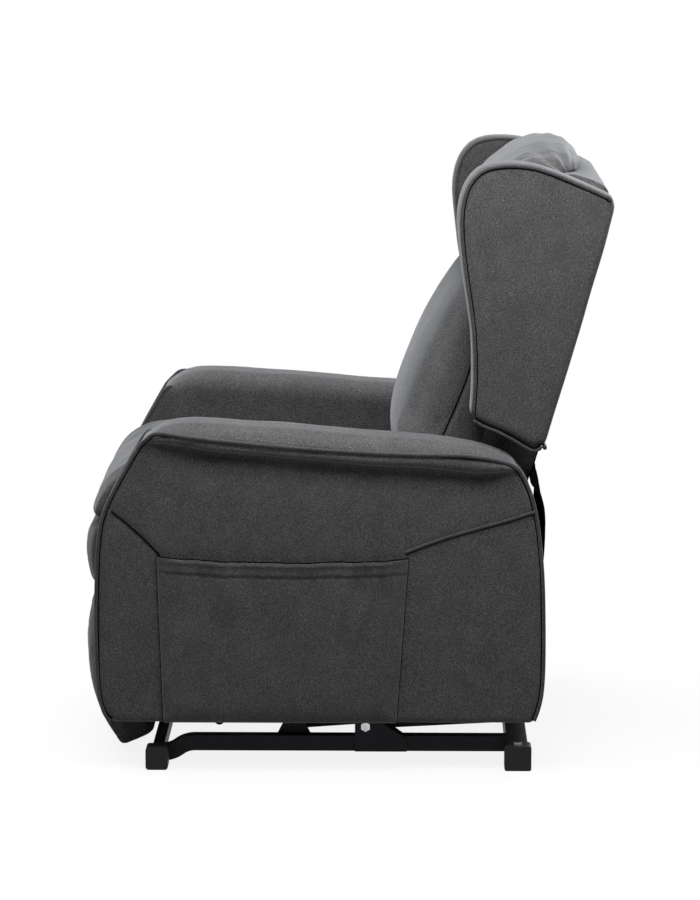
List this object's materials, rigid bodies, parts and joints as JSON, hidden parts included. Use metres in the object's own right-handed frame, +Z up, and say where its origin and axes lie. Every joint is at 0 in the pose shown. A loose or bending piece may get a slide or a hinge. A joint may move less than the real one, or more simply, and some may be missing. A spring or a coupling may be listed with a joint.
{
  "type": "lift recliner chair",
  "caption": "Upholstered power recliner armchair with wing back, side pocket and linked footrest on a steel lift base.",
  "frame": {"origin": "on the floor, midway between the outermost sides and between the foremost and rearmost points", "axes": "+Z up, the sitter faces -Y, +X to the sitter's left"},
  "size_m": [0.7872, 0.9478, 1.1105],
  "materials": {
    "upholstery": "charcoal woven cloth",
    "back_cloth": "plain dark lining cloth",
    "timber": "sawn board",
    "black_plastic": "moulded, satin",
    "zinc": "zinc plated",
    "black_steel": "black powder coat",
    "keys": "moulded keys"
  },
  "bodies": {
    "base": {"base_rails": "black_steel", "front_cross_tube": "black_steel", "rear_cross_tube": "black_steel", "front_feet": "black_plastic", "rear_feet": "black_plastic", "rail_brackets": "black_steel", "lift_shaft_bar": "zinc", "base_bolts": "zinc", "lift_drive_case": "black_plastic"},
    "lift_rod": {"lift_drive_rod": "zinc"},
    "lift_arms": {"front_lift_arms": "black_steel"},
    "rear_arm_left": {"rear_lift_arm_left": "black_steel"},
    "rear_arm_right": {"rear_lift_arm_right": "black_steel"},
    "chassis": {"chassis_side_tubes": "black_steel", "chassis_cross_tubes": "black_steel", "seat_side_boards": "timber", "seat_rails": "timber", "seat_springs": "zinc", "seat_cushion": "upholstery", "control_box": "black_plastic", "back_pivot_bolts": "zinc", "link_plates": "black_steel", "recline_drive_case": "black_plastic", "footrest_drive_case": "black_plastic", "arm_outer_panel_left": "upholstery", "arm_outer_panel_right": "upholstery", "arm_inner_panel_left": "upholstery", "arm_inner_panel_right": "upholstery", "arm_core_left": "upholstery", "arm_core_right": "upholstery", "arm_pad_left": "upholstery", "arm_pad_right": "upholstery", "side_pocket": "upholstery", "rear_panel": "back_cloth", "rear_flap": "back_cloth"},
    "backrest": {"back_posts": "timber", "back_rails": "timber", "back_plates": "black_steel", "back_cover_panel": "upholstery", "back_cushion": "upholstery", "head_pillow": "upholstery", "wing_left": "upholstery", "wing_right": "upholstery", "back_lock_knobs": "black_plastic"},
    "recline_rod": {"recline_drive_rod": "zinc"},
    "footrest_rod": {"footrest_drive_rod": "zinc"},
    "cranks": {"footrest_cranks": "black_steel"},
    "knee_links": {"footrest_knee_links": "black_steel"},
    "guide_links": {"footrest_guide_links": "black_steel"},
    "board_links": {"footrest_board_links": "black_steel"},
    "footrest": {"footrest_board": "timber", "footrest_brackets": "black_steel", "footrest_upper_pad": "upholstery", "footrest_lower_pad": "upholstery"},
    "handset": {"handset_case": "black_plastic"},
    "key_1": {"handset_button_1": "keys"},
    "key_2": {"handset_button_2": "keys"},
    "key_3": {"handset_button_3": "keys"},
    "key_4": {"handset_button_4": "keys"}
  },
  "joints": [
    {"name": "lift", "type": "hinge", "parent": "base", "child": "lift_arms", "pos_m": [0, -0.094, 0.07], "axis": [1, 0, 0], "range_deg": [0, 64]},
    {"name": "rear_arm_left", "type": "hinge", "parent": "base", "child": "rear_arm_left", "pos_m": [0.304, 0.035, 0.074], "axis": [1, 0, 0], "range_deg": [0, 53.15]},
    {"name": "rear_arm_right", "type": "hinge", "parent": "base", "child": "rear_arm_right", "pos_m": [-0.304, 0.035, 0.074], "axis": [1, 0, 0], "range_deg": [0, 53.15]},
    {"name": "chassis_tilt", "type": "hinge", "parent": "lift_arms", "child": "chassis", "pos_m": [0, 0.082, 0.083], "axis": [1, 0, 0], "range_deg": [-47.85, 0]},
    {"name": "lift_drive", "type": "slide", "parent": "base", "child": "lift_rod", "axis": [0, -1, 0], "range_m": [0, 0.0977]},
    {"name": "recline", "type": "hinge", "parent": "chassis", "child": "backrest", "pos_m": [0, 0.16, 0.4], "axis": [-1, 0, 0], "range_deg": [0, 40], "deforming": ["rear_flap"]},
    {"name": "recline_drive", "type": "slide", "parent": "chassis", "child": "recline_rod", "axis": [0, -1, 0], "range_m": [0, 0.0618]},
    {"name": "footrest", "type": "hinge", "parent": "chassis", "child": "cranks", "pos_m": [0, -0.302, 0.272], "axis": [-1, 0, 0], "range_deg": [0, 98.4]},
    {"name": "footrest_knee", "type": "hinge", "parent": "cranks", "child": "knee_links", "pos_m": [0, -0.232, 0.06], "axis": [-1, 0, 0], "range_deg": [-108.22, 0]},
    {"name": "footrest_guide", "type": "hinge", "parent": "chassis", "child": "guide_links", "pos_m": [0, -0.318, 0.32], "axis": [-1, 0, 0], "range_deg": [0, 96.55]},
    {"name": "footrest_stay", "type": "hinge", "parent": "cranks", "child": "board_links", "pos_m": [0, -0.232, 0.106], "axis": [-1, 0, 0], "range_deg": [-107.84, 0]},
    {"name": "footrest_board", "type": "hinge", "parent": "knee_links", "child": "footrest", "pos_m": [0, -0.375, 0.248], "axis": [-1, 0, 0], "range_deg": [0, 101.82]},
    {"name": "footrest_drive", "type": "slide", "parent": "chassis", "child": "footrest_rod", "axis": [0, -1, 0], "range_m": [0, 0.1062]},
    {"name": "handset_lift", "type": "slide", "parent": "chassis", "child": "handset", "axis": [0, 0, 1], "range_m": [0, 0.15]},
    {"name": "key_1_press", "type": "slide", "parent": "handset", "child": "key_1", "axis": [-1, 0, 0], "range_m": [0, 0.0009], "stiffness_N_per_m": 300, "springref_m": -0.001},
    {"name": "key_2_press", "type": "slide", "parent": "handset", "child": "key_2", "axis": [-1, 0, 0], "range_m": [0, 0.0009], "stiffness_N_per_m": 300, "springref_m": -0.001},
    {"name": "key_3_press", "type": "slide", "parent": "handset", "child": "key_3", "axis": [-1, 0, 0], "range_m": [0, 0.0009], "stiffness_N_per_m": 300, "springref_m": -0.001},
    {"name": "key_4_press", "type": "slide", "parent": "handset", "child": "key_4", "axis": [-1, 0, 0], "range_m": [0, 0.0009], "stiffness_N_per_m": 300, "springref_m": -0.001}
  ],
  "couplings": [
    {"joint": "rear_arm_left", "follows": "lift", "ratio": 0.8274},
    {"joint": "rear_arm_right", "follows": "lift", "ratio": 0.8274},
    {"joint": "chassis_tilt", "follows": "lift", "ratio": -0.7445},
    {"joint": "lift_drive", "follows": "lift", "m_per_rad": 0.087291},
    {"joint": "recline_drive", "follows": "recline", "m_per_rad": 0.088183},
    {"joint": "footrest_knee", "follows": "footrest", "ratio": -1.0967},
    {"joint": "footrest_guide", "follows": "footrest", "ratio": 0.9782},
    {"joint": "footrest_stay", "follows": "footrest", "ratio": -1.0929},
    {"joint": "footrest_board", "follows": "footrest", "ratio": 1.0317},
    {"joint": "footrest_drive", "follows": "footrest", "m_per_rad": 0.061709}
  ]
}
